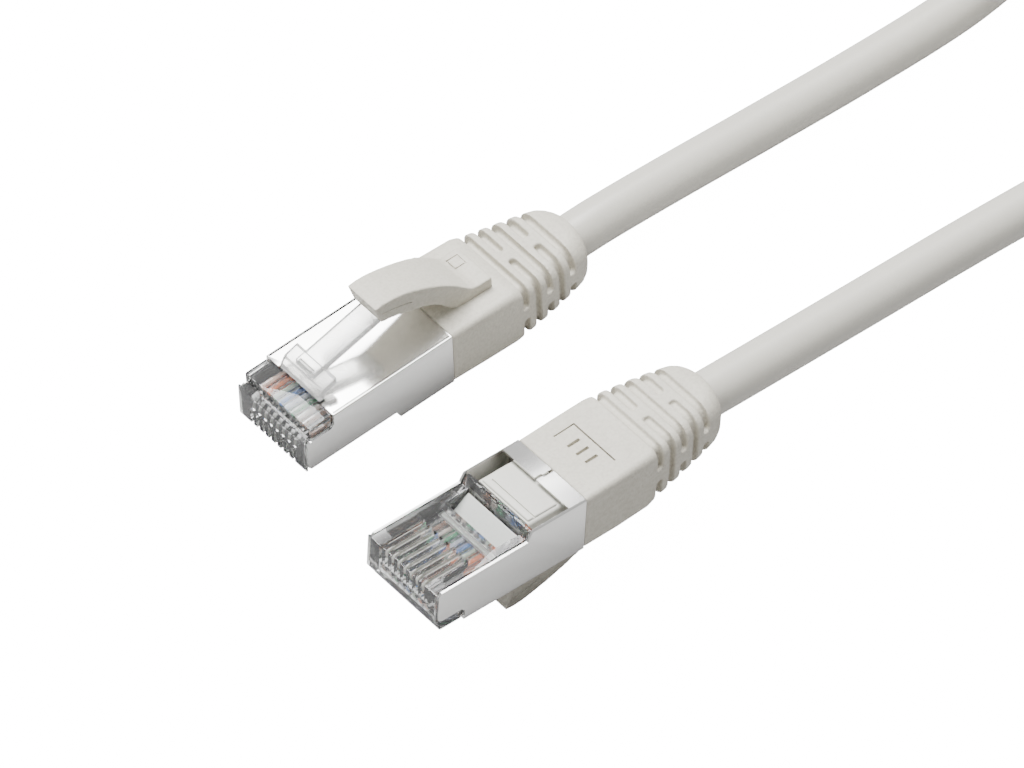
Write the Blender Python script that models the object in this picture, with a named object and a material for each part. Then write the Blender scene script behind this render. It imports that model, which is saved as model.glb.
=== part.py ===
"""Ethernet patch cable: two shielded eight-contact plugs with snagless boots on one round cord.

Each plug is modelled in its own plug frame, in millimetres, and then placed:
x runs from the nose (0) towards the cord, y across with contact 1 on the +y side,
z from the contact face (0) towards the latch.
In the world +X runs from the plugs towards the cord and z = 0 is the surface they lie on.
Plug A lies latch up. Plug B lies turned over on its hood, contacts up.
"""
import math

import bmesh
import bpy
from mathutils import Matrix, Vector

MM = 0.001
ROUND = 16                    # sides of a round piece

# Where the plugs lie: place of the nose corner on the centre line, and the tilt of the plug
PLUG_A_AT = (-17.053, 16.275, 0.727)
PLUG_A_TILT = math.radians(-2.4)      # the cord end stands a little higher than the nose
PLUG_B_AT = (-25.543, -16.275, 14.895)
PLUG_B_TILT = math.radians(3.0)       # the cord end hangs a little lower than the nose

# Plug
CONTACTS = 8
PITCH = 1.02                  # between contacts, the standard one
HALF_WIDTH = 5.85             # over the shield
SHEET = 0.3                   # thickness of the shield
GAP = 0.15                    # between pieces that touch
SHIELD_FRONT, SHIELD_REAR = 4.2, 21.2
SHIELD_TOP, SHIELD_BOTTOM = 6.45, -1.3
STEP_X = 13.6                 # the contact side steps down here
NOSE_SIDE_TOP = 4.5
FLAP_X = 18.9                 # the two bottom flaps start here
HOUSING_REAR = 14.0
WIRE_Z = 3.9                  # the row of wires over the contacts
WIRE_R = 0.45
JACKET_FRONT = 15.6
JACKET_R = 2.75
JACKET_Z_IN = 2.7             # cord axis inside the plug
JACKET_Z_OUT = 1.3            # cord axis where it leaves the boot

# Boot
BOOT_FRONT, BOOT_REAR = 21.35, 42.8
BORE_R = 2.85
# x, half width, bottom, top, corner radius
BOOT_SECTIONS = (
    (BOOT_FRONT, 5.85, -1.3, 6.5, 0.6),
    (26.0, 5.9, -1.6, 6.42, 0.7),
    (30.4, 5.92, -1.95, 6.2, 0.95),
    (31.6, 5.85, -2.03, 5.85, 1.2),
    (35.8, 5.5, -2.2, 5.3, 1.8),
    (39.5, 4.95, -2.35, 5.12, 2.3),
    (41.2, 4.6, -2.4, 4.95, 2.6),
    (42.0, 4.2, -2.3, 4.75, 2.8),
    (42.5, 3.7, -2.1, 4.58, 2.9),
    (BOOT_REAR, 3.2, -1.88, 4.42, 3.0),
)
GROOVE_X = (31.5, 33.35, 35.2, 37.05, 38.9)
GROOVE_WIDTH = 0.85
GROOVE_DEPTH = 0.9
GROOVE_DEPTH_BELOW = 0.4      # the wall under the cord is thinner
BRIDGE = 0.85                 # half width of the web that a groove leaves
BLOCK = (26.1, 29.4)          # root block of the hood, on the boot
BLOCK_HALF, BLOCK_TOP = 2.95, 7.75

# Hinges, in the plug frame
LATCH_HINGE = (3.95, 6.95)
TAB_HINGE = (24.9, 7.75)

# Cord: a tied hank behind the plugs takes up the length that isn't laid out
CORD_D = 5.5
HANK_CENTRE_Y = -1.0
HANK_NEAR_X = 118.0           # centre of the hank's near fold
HANK_STRAIGHT = 51.2
FOLD_OUTER = 22.0             # radius of the outer folds, on the cord's axis
HANK_BOTTOM = 1.1
HANK_LAYERS = 4
TIE_WIDTH, TIE_THICK = 10.0, 0.8
# Routes of the two leads from boot to hank, world x, y, z
LEAD_A = ((25.955, 16.275, 3.83), (30.0, 16.27, 3.92), (40.0, 16.2, 3.6), (54.0, 16.0, 3.0),
          (68.0, 15.65, 2.78), (82.0, 15.6, 2.8), (91.0, 16.5, 2.95), (98.4, 18.1, 3.15))
LEAD_B = ((17.43, -16.275, 11.34), (25.0, -16.3, 10.93), (40.0, -16.35, 10.2), (58.0, -16.6, 9.6),
          (74.0, -17.4, 9.3), (87.0, -19.1, 9.25), (98.4, -20.5, 9.3))
LEAD_STEP = 14.0              # spacing of the tube's points

# name: base colour, roughness, metallic
FINISHES = {
    "clear_polycarbonate": ((0.86, 0.88, 0.88), 0.08, 0.0),
    "nickel_plate": ((0.74, 0.73, 0.70), 0.15, 1.0),
    "contact_plate": ((0.80, 0.78, 0.72), 0.25, 1.0),
    "boot_pvc": ((0.62, 0.62, 0.58), 0.6, 0.0),
    "cord_pvc": ((0.60, 0.60, 0.57), 0.4, 0.0),
    "cream_overmould": ((0.72, 0.71, 0.66), 0.55, 0.0),
    "milky_polymer": ((0.68, 0.69, 0.67), 0.4, 0.0),
    "foil": ((0.78, 0.78, 0.78), 0.3, 1.0),
    "tie_fabric": ((0.05, 0.05, 0.05), 0.9, 0.0),
    "wire_white": ((0.82, 0.80, 0.76), 0.4, 0.0),
    "wire_orange": ((0.80, 0.28, 0.08), 0.4, 0.0),
    "wire_green": ((0.06, 0.36, 0.16), 0.4, 0.0),
    "wire_blue": ((0.06, 0.22, 0.52), 0.4, 0.0),
    "wire_brown": ((0.26, 0.12, 0.07), 0.4, 0.0),
}
# Insulation in contact order: the first of each pair is white with a stripe of the pair's colour
WIRE_FINISH = ("wire_white", "wire_orange", "wire_white", "wire_blue",
               "wire_white", "wire_green", "wire_white", "wire_brown")


def clear_scene():
    for item in list(bpy.data.objects):
        bpy.data.objects.remove(item, do_unlink=True)


def finish(name):
    made = bpy.data.materials.get(name)
    if made:
        return made
    colour, roughness, metallic = FINISHES[name]
    made = bpy.data.materials.new(name)
    made.use_nodes = True
    shader = made.node_tree.nodes["Principled BSDF"]
    shader.inputs["Base Color"].default_value = (*colour, 1.0)
    shader.inputs["Roughness"].default_value = roughness
    shader.inputs["Metallic"].default_value = metallic
    return made


def add(name, bm, material, parent, pivot=(0.0, 0.0, 0.0)):
    """Makes an object of a mesh in plug millimetres, with its origin at the pivot."""
    bmesh.ops.recalc_face_normals(bm, faces=bm.faces)
    bmesh.ops.translate(bm, vec=-Vector(pivot), verts=bm.verts)
    bmesh.ops.scale(bm, vec=(MM, MM, MM), verts=bm.verts)
    mesh = bpy.data.meshes.new(name)
    bm.to_mesh(mesh)
    bm.free()
    made = bpy.data.objects.new(name, mesh)
    bpy.context.scene.collection.objects.link(made)
    made.location = Vector(pivot) * MM
    made.parent = parent
    if material:
        mesh.materials.append(finish(material))
    return made


def cutter(name, bm, parent):
    made = add(name, bm, None, parent)
    made.hide_render = True
    made.display_type = "WIRE"
    return made


def combine(target, other, operation):
    step = target.modifiers.new(other.name, "BOOLEAN")
    step.operation = operation
    step.solver = "EXACT"
    step.object = other


def push(bm, outline, span, plane="xz"):
    """Pushes a flat outline through a span along the axis that its plane leaves out."""
    order = {"xz": lambda a, b, c: (a, c, b), "yz": lambda a, b, c: (c, a, b),
             "xy": lambda a, b, c: (a, b, c)}[plane]
    face = bm.faces.new([bm.verts.new(order(a, b, span[0])) for a, b in outline])
    made = bmesh.ops.extrude_face_region(bm, geom=[face])["geom"]
    moved = [v for v in made if isinstance(v, bmesh.types.BMVert)]
    bmesh.ops.translate(bm, vec=order(0.0, 0.0, span[1] - span[0]), verts=moved)
    return bm


def block(bm, x, y, z):
    return push(bm, ((x[0], z[0]), (x[1], z[0]), (x[1], z[1]), (x[0], z[1])), y)


def ring(half_width, bottom, top, radius, per_corner=5):
    """Points of a rounded rectangle in y and z, anticlockwise seen from the cord end."""
    corners = ((half_width - radius, top - radius, 0), (radius - half_width, top - radius, 90),
               (radius - half_width, bottom + radius, 180), (half_width - radius, bottom + radius, 270))
    points = []
    for y, z, start in corners:
        for k in range(per_corner):
            turn = math.radians(start + 90 * k / (per_corner - 1))
            points.append((y + radius * math.cos(turn), z + radius * math.sin(turn)))
    return points


def circle(radius, z, sides=ROUND):
    return [(radius * math.cos(math.tau * k / sides), z + radius * math.sin(math.tau * k / sides))
            for k in range(sides)]


def loft(bm, sections):
    """Joins rings of equal counts, given as (x, points in y and z), into one closed body."""
    loops = [[bm.verts.new((x, y, z)) for y, z in points] for x, points in sections]
    for first, second in zip(loops, loops[1:]):
        count = len(first)
        for k in range(count):
            bm.faces.new((first[k], first[(k + 1) % count], second[(k + 1) % count], second[k]))
    bm.faces.new(loops[0])
    bm.faces.new(loops[-1])
    return bm


def arc(centre, radius, start, end, steps):
    """Points on an arc in a side view, angles in degrees."""
    turns = [math.radians(start + (end - start) * k / steps) for k in range(steps + 1)]
    return [(centre[0] + radius * math.cos(t), centre[1] + radius * math.sin(t)) for t in turns]


def contact_y(k):
    return ((CONTACTS - 1) / 2 - k) * PITCH


def ease(t):
    t = min(max(t, 0.0), 1.0)
    return t * t * (3.0 - 2.0 * t)


def jacket_z(x):
    """Height of the cord's axis in the plug: it steps down inside the boot."""
    return JACKET_Z_IN + (JACKET_Z_OUT - JACKET_Z_IN) * ease((x - 24.0) / 14.0)


def make_shield(tag, frame):
    """One folded sheet: top, two sides that reach forward low down, and two flaps behind."""
    side = [(0.35, 0.5), (0.75, 0.05), (STEP_X - 0.7, 0.0), (STEP_X, SHIELD_BOTTOM), (SHIELD_REAR, SHIELD_BOTTOM),
            (SHIELD_REAR, SHIELD_TOP), (SHIELD_FRONT, SHIELD_TOP), (SHIELD_FRONT, NOSE_SIDE_TOP)]
    side += [(1.0, NOSE_SIDE_TOP), (0.55, NOSE_SIDE_TOP - 0.2), (0.35, NOSE_SIDE_TOP - 0.6)]
    shell = add(f"shield_{tag}", push(bmesh.new(), side, (-HALF_WIDTH, HALF_WIDTH)), "nickel_plate", frame)
    inner = HALF_WIDTH - SHEET
    top = SHIELD_TOP - SHEET
    hollow = block(bmesh.new(), (-1.0, SHIELD_REAR + 1.0), (-inner, inner), (SHIELD_BOTTOM + SHEET, top))
    combine(shell, cutter(f"shield_hollow_{tag}", hollow, frame), "DIFFERENCE")
    open_side = block(bmesh.new(), (-1.0, FLAP_X), (-inner, inner), (SHIELD_BOTTOM - 1.0, 0.5))
    combine(shell, cutter(f"shield_open_side_{tag}", open_side, frame), "DIFFERENCE")
    details = bmesh.new()
    block(details, (FLAP_X - 0.5, 19.9), (-0.3, 0.1), (SHIELD_BOTTOM - 0.5, SHIELD_BOTTOM + 0.6))
    block(details, (SHIELD_FRONT - 0.5, 4.95), (-3.7, 3.7), (top - 0.3, SHIELD_TOP + 0.3))
    for y in (-HALF_WIDTH + 0.2, HALF_WIDTH - 0.4):
        block(details, (SHIELD_FRONT - 0.5, SHIELD_REAR + 0.5), (y, y + 0.2), (SHIELD_TOP - 0.18, SHIELD_TOP + 0.3))
    combine(shell, cutter(f"shield_details_{tag}", details, frame), "DIFFERENCE")
    rear_slit = block(bmesh.new(), (19.8, SHIELD_REAR + 0.5), (-0.1, 0.3), (SHIELD_BOTTOM - 0.5, SHIELD_BOTTOM + 0.6))
    combine(shell, cutter(f"shield_rear_slit_{tag}", rear_slit, frame), "DIFFERENCE")


def make_housing(tag, frame):
    """The clear moulding: comb of contact slots in the nose, wire space behind it, open at the rear."""
    inner = HALF_WIDTH - SHEET - GAP
    side = ((0.0, 0.0), (12.95, 0.0), (13.5, -1.0), (HOUSING_REAR, -1.0), (HOUSING_REAR, 6.0),
            (4.0, 6.0), (4.0, 5.0), (0.9, 5.0), (0.9, 4.7), (0.0, 4.7))
    body = add(f"housing_{tag}", push(bmesh.new(), side, (-inner, inner)), "clear_polycarbonate", frame)
    face = block(bmesh.new(), (0.0, 0.25), (-HALF_WIDTH, HALF_WIDTH), (0.0, 4.7))
    combine(body, cutter(f"housing_face_{tag}", face, frame), "UNION")
    brow = block(bmesh.new(), (0.9, 4.05), (-HALF_WIDTH + 0.25, HALF_WIDTH - 0.25), (4.65, 6.3))
    combine(body, cutter(f"housing_brow_{tag}", brow, frame), "UNION")
    slots = bmesh.new()
    for k in range(CONTACTS):
        y = contact_y(k)
        push(slots, ((-0.2, -0.2), (6.2, -0.2), (6.2, 1.6), (5.5, 2.3), (5.5, 3.6), (1.5, 3.6), (0.9, 2.3),
                     (-0.2, 2.3)), (y - 0.3, y + 0.3))
    combine(body, cutter(f"housing_slots_{tag}", slots, frame), "DIFFERENCE")
    wire_space = block(bmesh.new(), (1.1, 9.2), (-4.2, 4.2), (WIRE_Z - 0.52, WIRE_Z + 0.52))
    combine(body, cutter(f"housing_wire_space_{tag}", wire_space, frame), "DIFFERENCE")
    rear_space = block(bmesh.new(), (9.0, HOUSING_REAR + 0.5), (-4.65, 4.65), (2.85, 5.05))
    combine(body, cutter(f"housing_rear_space_{tag}", rear_space, frame), "DIFFERENCE")
    recess = block(bmesh.new(), (9.7, 13.1), (-4.3, 4.3), (-1.5, 2.6))
    combine(body, cutter(f"housing_recess_{tag}", recess, frame), "DIFFERENCE")


def make_clamp_bar(tag, frame):
    """The bar that is pressed in on the contact side and holds the cord's wires."""
    side = ((9.85, 1.95), (10.75, 1.95), (12.8, 0.4), (12.95, 0.45), (12.95, 1.2), (11.3, 2.45), (9.85, 2.45))
    add(f"clamp_bar_{tag}", push(bmesh.new(), side, (-4.15, 4.15)), "milky_polymer", frame)


def make_wire_guide(tag, frame):
    """The comb block that keeps the eight wires in order."""
    guide = add(f"wire_guide_{tag}", block(bmesh.new(), (9.35, 12.4), (-4.5, 4.5), (3.0, 4.9)),
                "milky_polymer", frame)
    holes = bmesh.new()
    for k in range(CONTACTS):
        points = [(contact_y(k) + y, z) for y, z in circle(WIRE_R + 0.05, WIRE_Z, 8)]
        loft(holes, [(9.0, points), (13.0, points)])
    combine(guide, cutter(f"wire_guide_holes_{tag}", holes, frame), "DIFFERENCE")


def make_contacts(tag, frame):
    """Blades with two teeth that bite into the wire above them."""
    side = ((1.35, 0.45), (5.95, 0.45), (5.95, 1.5), (5.2, 2.0), (5.2, 3.28), (4.6, 3.28), (4.3, 2.6),
            (3.0, 2.6), (2.7, 3.28), (2.1, 3.28), (1.7, 2.2), (0.65, 1.9), (0.6, 1.15), (0.85, 0.7))
    for k in range(CONTACTS):
        y = contact_y(k)
        blade = push(bmesh.new(), side, (y - 0.16, y + 0.16))
        add(f"contact_{k + 1}_{tag}", blade, "contact_plate", frame)


def make_wires(tag, frame):
    """Eight wires: side by side over the contacts, then two rows of four where the jacket starts."""
    stations = (1.3, 13.2, 13.8, 14.3, 14.8, JACKET_FRONT - 0.15)
    for k in range(CONTACTS):
        row = 1 if k % 2 == 0 else -1
        end_y = (1.5 - k // 2) * 1.06
        end_z = JACKET_Z_IN + row * 0.55
        sections = []
        for x in stations:
            drop = ease((x - 13.3) / 2.0)
            gather = ease((x - 13.8) / 1.65)
            y = contact_y(k) + (end_y - contact_y(k)) * gather
            z = WIRE_Z + (end_z - WIRE_Z) * drop
            sections.append((x, [(y + a, b) for a, b in circle(WIRE_R * 0.96, z, 8)]))
        add(f"wire_{k + 1}_{tag}", loft(bmesh.new(), sections), WIRE_FINISH[k], frame)


def make_jacket_end(tag, frame):
    """The cord's own end inside the plug and boot, with the shield foil folded back over it."""
    stations = (JACKET_FRONT, 24.0, 27.5, 31.0, 34.5, 38.0, BOOT_REAR - 0.3)
    add(f"jacket_end_{tag}", loft(bmesh.new(), [(x, circle(JACKET_R, jacket_z(x))) for x in stations]),
        "cord_pvc", frame)
    wrap = loft(bmesh.new(), [(x, circle(JACKET_R + 0.22, JACKET_Z_IN)) for x in (16.0, 20.5)])
    foil = add(f"foil_wrap_{tag}", wrap, "foil", frame)
    inside = loft(bmesh.new(), [(x, circle(JACKET_R + 0.07, JACKET_Z_IN)) for x in (15.0, 21.5)])
    combine(foil, cutter(f"foil_inside_{tag}", inside, frame), "DIFFERENCE")


def make_overmould(tag, frame):
    """The inner moulding that fills the shield behind the housing and grips the cord."""
    lump = bmesh.new()
    block(lump, (14.3, SHIELD_REAR - 0.1), (-4.3, 4.3), (-0.85, 6.0))
    edges = [e for e in lump.edges if abs(e.verts[0].co.x - e.verts[1].co.x) > 1.0]
    bmesh.ops.bevel(lump, geom=edges, offset=0.35, segments=2, affect="EDGES")
    made = add(f"inner_overmould_{tag}", lump, "cream_overmould", frame)
    bore = loft(bmesh.new(), [(x, circle(JACKET_R + 0.29, JACKET_Z_IN)) for x in (13.5, 22.0)])
    combine(made, cutter(f"overmould_bore_{tag}", bore, frame), "DIFFERENCE")
    mouth = block(bmesh.new(), (13.5, JACKET_FRONT), (-4.1, 4.1), (1.5, 4.7))
    combine(made, cutter(f"overmould_mouth_{tag}", mouth, frame), "DIFFERENCE")


def boot_section(x, shrink=0.0, shrink_below=0.0):
    """The boot's outline at x, read between the stations above."""
    for first, second in zip(BOOT_SECTIONS, BOOT_SECTIONS[1:]):
        if x <= second[0]:
            break
    t = (x - first[0]) / (second[0] - first[0])
    half, bottom, top, radius = (a + (b - a) * t for a, b in zip(first[1:], second[1:]))
    return half - shrink, bottom + shrink_below, top - shrink, max(radius - 0.4 * shrink, 0.3)


def groove_outlines(x, over_faces):
    """Two opposite bands of a groove, in y and z: over top and bottom, or over the two sides."""
    half, bottom, top, radius = boot_section(x, GROOVE_DEPTH, GROOVE_DEPTH_BELOW)
    middle = (top + bottom) / 2
    far = 9.0
    upper = [p for p in ring(half, bottom, top, radius, 4) if p[1] > middle]
    if over_faces:
        level = middle + BRIDGE
        band = [(far, level), (far, far), (-far, far), (-far, level), (-half, level)]
        band += list(reversed(upper)) + [(half, level)]
        lower = [p for p in ring(half, bottom, top, radius, 4) if p[1] < middle]
        level = middle - BRIDGE
        under = [(-far, level), (-far, -far), (far, -far), (far, level), (half, level)]
        return [band, under + list(reversed(lower)) + [(-half, level)]]
    right = [p for p in ring(half, bottom, top, radius, 4) if p[0] > 0]
    right.sort(key=lambda p: math.atan2(p[1] - middle, p[0]))
    band = [(BRIDGE, -far), (far, -far), (far, far), (BRIDGE, far), (BRIDGE, top)]
    band += list(reversed(right)) + [(BRIDGE, bottom)]
    return [band, [(-y, z) for y, z in band]]


def make_boot(tag, frame):
    """The outer moulding: a square body, then five flex ribs that taper to a domed end on the cord."""
    stations = [row[0] for row in BOOT_SECTIONS]
    body = loft(bmesh.new(), [(x, ring(*boot_section(x))) for x in stations])
    boot = add(f"boot_{tag}", body, "boot_pvc", frame)
    root = bmesh.new()
    block(root, BLOCK, (-BLOCK_HALF, BLOCK_HALF), (5.8, BLOCK_TOP))
    upper = [e for e in root.edges if min(v.co.z for v in e.verts) > BLOCK_TOP - 0.1]
    bmesh.ops.bevel(root, geom=upper, offset=0.3, segments=2, affect="EDGES")
    combine(boot, cutter(f"boot_root_block_{tag}", root, frame), "UNION")
    bands = bmesh.new()
    for k, x in enumerate(GROOVE_X):
        for outline in groove_outlines(x + GROOVE_WIDTH / 2, k % 2 == 0):
            push(bands, outline, (x, x + GROOVE_WIDTH), "yz")
    combine(boot, cutter(f"boot_grooves_{tag}", bands, frame), "DIFFERENCE")
    stations = (BOOT_FRONT - 1.0, 24.0, 27.5, 31.0, 34.5, 38.0, BOOT_REAR + 1.0)
    bore = loft(bmesh.new(), [(x, circle(BORE_R, jacket_z(x))) for x in stations])
    combine(boot, cutter(f"boot_bore_{tag}", bore, frame), "DIFFERENCE")
    boot.data.shade_smooth()
    boot.data.set_sharp_from_angle(angle=math.radians(40))


def make_latch(tag, frame):
    """The clear latch: a wide root that locks in the socket, and a finger that runs back and up."""
    pivot = (LATCH_HINGE[0], 0.0, LATCH_HINGE[1])
    side = [(3.45, 7.9), (6.8, 8.72), (6.8, 7.78), (4.75, 7.28)]
    side += arc(LATCH_HINGE, 0.5, 0, -180, 6)
    latch = add(f"latch_{tag}", push(bmesh.new(), side, (-3.45, 3.45)), "clear_polycarbonate", frame, pivot)
    finger = push(bmesh.new(), ((5.0, 7.8), (5.0, 8.9), (14.7, 11.2), (14.7, 10.3), (7.4, 8.55), (6.5, 8.0)),
                  (-1.6, 1.6))
    combine(latch, cutter(f"latch_finger_{tag}", finger, frame), "UNION")


def make_tab(tag, frame):
    """The snagless hood: an arched finger from the boot's root block over the end of the latch."""
    pivot = (TAB_HINGE[0], 0.0, TAB_HINGE[1])
    side = [(13.4, 14.1), (14.6, 14.15), (16.6, 13.9), (18.9, 13.2), (21.6, 11.85), (23.8, 10.2), (25.1, 9.0)]
    side += arc(TAB_HINGE, 1.0, 40, -110, 6)
    side += [(23.3, 7.25), (22.4, 8.25), (20.2, 9.5), (17.9, 10.45), (15.6, 11.2), (14.15, 11.5)]
    arch = push(bmesh.new(), side, (-2.45, 2.45))
    for v in arch.verts:
        v.co.y *= 1.0 + 0.19 * ease((v.co.x - 19.0) / 6.0)
    add(f"hood_{tag}", arch, "boot_pvc", frame, pivot)


def make_plug(tag, place, turn):
    frame = bpy.data.objects.new(f"plug_frame_{tag}", None)
    bpy.context.scene.collection.objects.link(frame)
    frame.location = Vector(place) * MM
    frame.rotation_euler = turn
    for make in (make_shield, make_housing, make_clamp_bar, make_wire_guide, make_contacts, make_wires,
                 make_jacket_end, make_overmould, make_boot, make_latch, make_tab):
        make(tag, frame)


def smooth(route, step):
    """Evenly spaced points on the smooth curve through the route's own points."""
    knots = [Vector(p) for p in route]
    slopes = [(b - a) / 2 for a, b in zip([knots[0]] + knots[:-1], knots[1:] + [knots[-1]])]
    slopes[0] *= 2
    slopes[-1] *= 2
    fine = []
    for p, q, m, n in zip(knots, knots[1:], slopes, slopes[1:]):
        for k in range(24):
            t = k / 24
            fine.append(p * (2 * t**3 - 3 * t**2 + 1) + m * (t**3 - 2 * t**2 + t)
                        + q * (3 * t**2 - 2 * t**3) + n * (t**3 - t**2))
    fine.append(knots[-1])
    length = sum((b - a).length for a, b in zip(fine, fine[1:]))
    count = max(2, round(length / step))
    points, walked, wanted = [fine[0]], 0.0, length / count
    for a, b in zip(fine, fine[1:]):
        span = (b - a).length
        while walked + span >= wanted and len(points) < count:
            points.append(a.lerp(b, (wanted - walked) / span))
            wanted += length / count
        walked += span
    return points + [fine[-1]]


def make_lead(name, route):
    curve = bpy.data.curves.new(name, "CURVE")
    curve.dimensions = "3D"
    curve.bevel_depth = CORD_D / 2 * MM
    curve.bevel_resolution = 3
    curve.use_fill_caps = True
    points = smooth(route, LEAD_STEP)
    spline = curve.splines.new("POLY")
    spline.points.add(len(points) - 1)
    for point, place in zip(spline.points, points):
        point.co = (*(place * MM), 1.0)
    curve.materials.append(finish("cord_pvc"))
    bpy.context.scene.collection.objects.link(bpy.data.objects.new(name, curve))


def make_hank():
    """The outer shape of the folded cord, and the strap that holds it."""
    radius = FOLD_OUTER + CORD_D / 2
    far_x = HANK_NEAR_X + HANK_STRAIGHT
    outline = arc((HANK_NEAR_X, HANK_CENTRE_Y), radius, 90, 270, 12)
    outline += arc((far_x, HANK_CENTRE_Y), radius, -90, 90, 12)
    top = HANK_BOTTOM + HANK_LAYERS * CORD_D
    add("cord_hank", push(bmesh.new(), outline, (HANK_BOTTOM, top), "xy"), "cord_pvc", None)
    middle = (HANK_NEAR_X + far_x) / 2
    width = (middle - TIE_WIDTH / 2, middle + TIE_WIDTH / 2)
    half = radius + 0.3
    outer = half + TIE_THICK
    strap = bmesh.new()
    block(strap, width, (HANK_CENTRE_Y - outer, HANK_CENTRE_Y + outer), (0.0, top + 0.3 + TIE_THICK))
    tie = add("hank_tie", strap, "tie_fabric", None)
    window = block(bmesh.new(), (width[0] - 1, width[1] + 1), (HANK_CENTRE_Y - half, HANK_CENTRE_Y + half),
                   (TIE_THICK, top + 0.3))
    combine(tie, cutter("hank_tie_window", window, None), "DIFFERENCE")


def main():
    clear_scene()
    make_plug("a", PLUG_A_AT, (0.0, PLUG_A_TILT, 0.0))
    make_plug("b", PLUG_B_AT, (math.pi, PLUG_B_TILT, 0.0))
    make_lead("cord_lead_a", LEAD_A)
    make_lead("cord_lead_b", LEAD_B)
    make_hank()


main()
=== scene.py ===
# %% [markdown]
# An ethernet patch cable lies on a pale table: two clear plugs in bright metal shields, each with a
# ribbed boot and an arched hood over its latch, joined by one round grey cord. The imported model
# holds every size and every joint. This script dresses it, one piece at a time.

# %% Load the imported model
import math

import bpy
from mathutils import Euler, Matrix, Vector


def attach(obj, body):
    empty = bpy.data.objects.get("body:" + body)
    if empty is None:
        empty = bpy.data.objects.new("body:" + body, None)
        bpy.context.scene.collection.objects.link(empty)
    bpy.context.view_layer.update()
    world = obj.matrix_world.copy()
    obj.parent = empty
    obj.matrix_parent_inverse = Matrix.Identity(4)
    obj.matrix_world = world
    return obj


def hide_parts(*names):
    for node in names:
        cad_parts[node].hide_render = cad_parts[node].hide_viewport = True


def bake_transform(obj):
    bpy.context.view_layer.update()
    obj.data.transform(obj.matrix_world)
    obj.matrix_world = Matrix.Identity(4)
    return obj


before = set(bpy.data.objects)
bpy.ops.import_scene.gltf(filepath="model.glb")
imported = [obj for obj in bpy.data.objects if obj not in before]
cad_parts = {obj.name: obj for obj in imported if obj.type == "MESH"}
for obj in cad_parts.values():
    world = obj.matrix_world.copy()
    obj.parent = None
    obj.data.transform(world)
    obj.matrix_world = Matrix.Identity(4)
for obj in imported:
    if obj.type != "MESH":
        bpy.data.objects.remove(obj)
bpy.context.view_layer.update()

# %% [markdown]
# Both plugs are one pattern, so each piece is modelled once, in millimetres, in the plug's own frame:
# x runs from the nose to the cord, y across, z from the contacts towards the latch. A plug frame
# turns that pattern into its place in the world, as a worker lays two equal plugs on a table.

# %% The two plug frames
MM = 0.001
ROOT = "plugs_and_cord"
PLUG_FRAMES = {
    "a": Matrix.LocRotScale(Vector((-17.053, 16.275, 0.727)) * MM,
                            Euler((0, math.radians(-2.4), 0)), Vector((MM, MM, MM))),
    "b": Matrix.LocRotScale(Vector((-25.543, -16.275, 14.895)) * MM,
                            Euler((math.pi, math.radians(3.0), 0)), Vector((MM, MM, MM))),
}
HALF_WIDTH = 5.85         # of the shield
SHEET = 0.3               # its thickness
SHIELD_FRONT, SHIELD_REAR = 4.2, 21.2
SHIELD_TOP, SHIELD_BOTTOM = 6.45, -1.3
STEP_X = 13.6             # the contact side steps down here
FLAP_X = 18.9             # two flaps of the shield close the contact side from here
BOOT_FRONT, BOOT_REAR = 21.3, 42.8
PITCH = 1.02              # from contact to contact
CONTACTS = 8
WIRE_Z = 3.9
CORD_D = 5.5


def plug_point(tag, x, y, z):
    """A point of a plug's own frame, in the world and in metres."""
    return PLUG_FRAMES[tag] @ Vector((x, y, z))


def contact_y(k):
    return ((CONTACTS - 1) / 2 - k) * PITCH


# %% [markdown]
# The camera looks down from the plugs' noses along the cords, from far away with a long lens, so
# that the two plugs stay nearly parallel on the picture, as in a catalogue.

# %% The camera
AZIMUTH, ELEVATION = math.radians(-40.1), math.radians(48.2)
DISTANCE = 1.5            # metres
LENS = 478.0              # millimetres
AIM_RIGHT, AIM_UP = 0.00284, 0.008      # from the origin, in metres


def add_camera():
    right = Vector((math.cos(AZIMUTH), math.sin(AZIMUTH), 0))
    back = Vector((math.sin(AZIMUTH) * math.cos(ELEVATION),
                   -math.cos(AZIMUTH) * math.cos(ELEVATION), math.sin(ELEVATION)))
    aim = right * AIM_RIGHT + back.cross(right) * AIM_UP
    bpy.ops.object.camera_add(location=aim + back * DISTANCE)
    made = bpy.context.object
    made.rotation_mode = "QUATERNION"
    made.rotation_quaternion = (-back).to_track_quat("-Z", "Y")
    made.data.lens = LENS
    return made


bpy.context.scene.camera = add_camera()
print("camera at", [round(v, 3) for v in bpy.context.scene.camera.location])

# %% [markdown]
# The cord is two metres of round cable less the plugs. Two leads lie in sight. The rest is folded
# into a hank behind them, sixteen runs in two columns and four layers, wound like thread on a card:
# out along one side, round a fold, and back. Where the winding changes its row or its layer, it
# does so on the near fold, and each kind of change has its own stretch of the fold, so that the
# strands pass each other a diameter apart.

# %% The cord's route
LEAD_A = ((30.0, 16.27, 3.92), (40.0, 16.2, 3.6), (54.0, 16.0, 3.0),
          (68.0, 15.65, 2.78), (82.0, 15.6, 2.8), (91.0, 16.5, 2.95), (98.4, 18.1, 3.15), (108.0, 20.4, 3.6))
LEAD_B = ((25.0, -16.3, 10.93), (40.0, -16.35, 10.2), (58.0, -16.6, 9.6),
          (74.0, -17.4, 9.3), (87.0, -19.1, 9.25), (98.4, -20.5, 9.3), (108.0, -22.4, 9.33))
HANK_CENTRE_Y = -1.0
NEAR_X, HANK_STRAIGHT = 118.0, 51.2
OUTER, INNER = 22.0, 16.5           # radii of the folds
FIRST_LAYER = 3.85                  # height of the lowest run's middle
WINDING = ((OUTER, 1), (INNER, 1), (INNER, 2), (INNER, 3), (INNER, 4), (OUTER, 4), (OUTER, 3), (OUTER, 2))
FOLD_STEPS = 14
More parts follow.
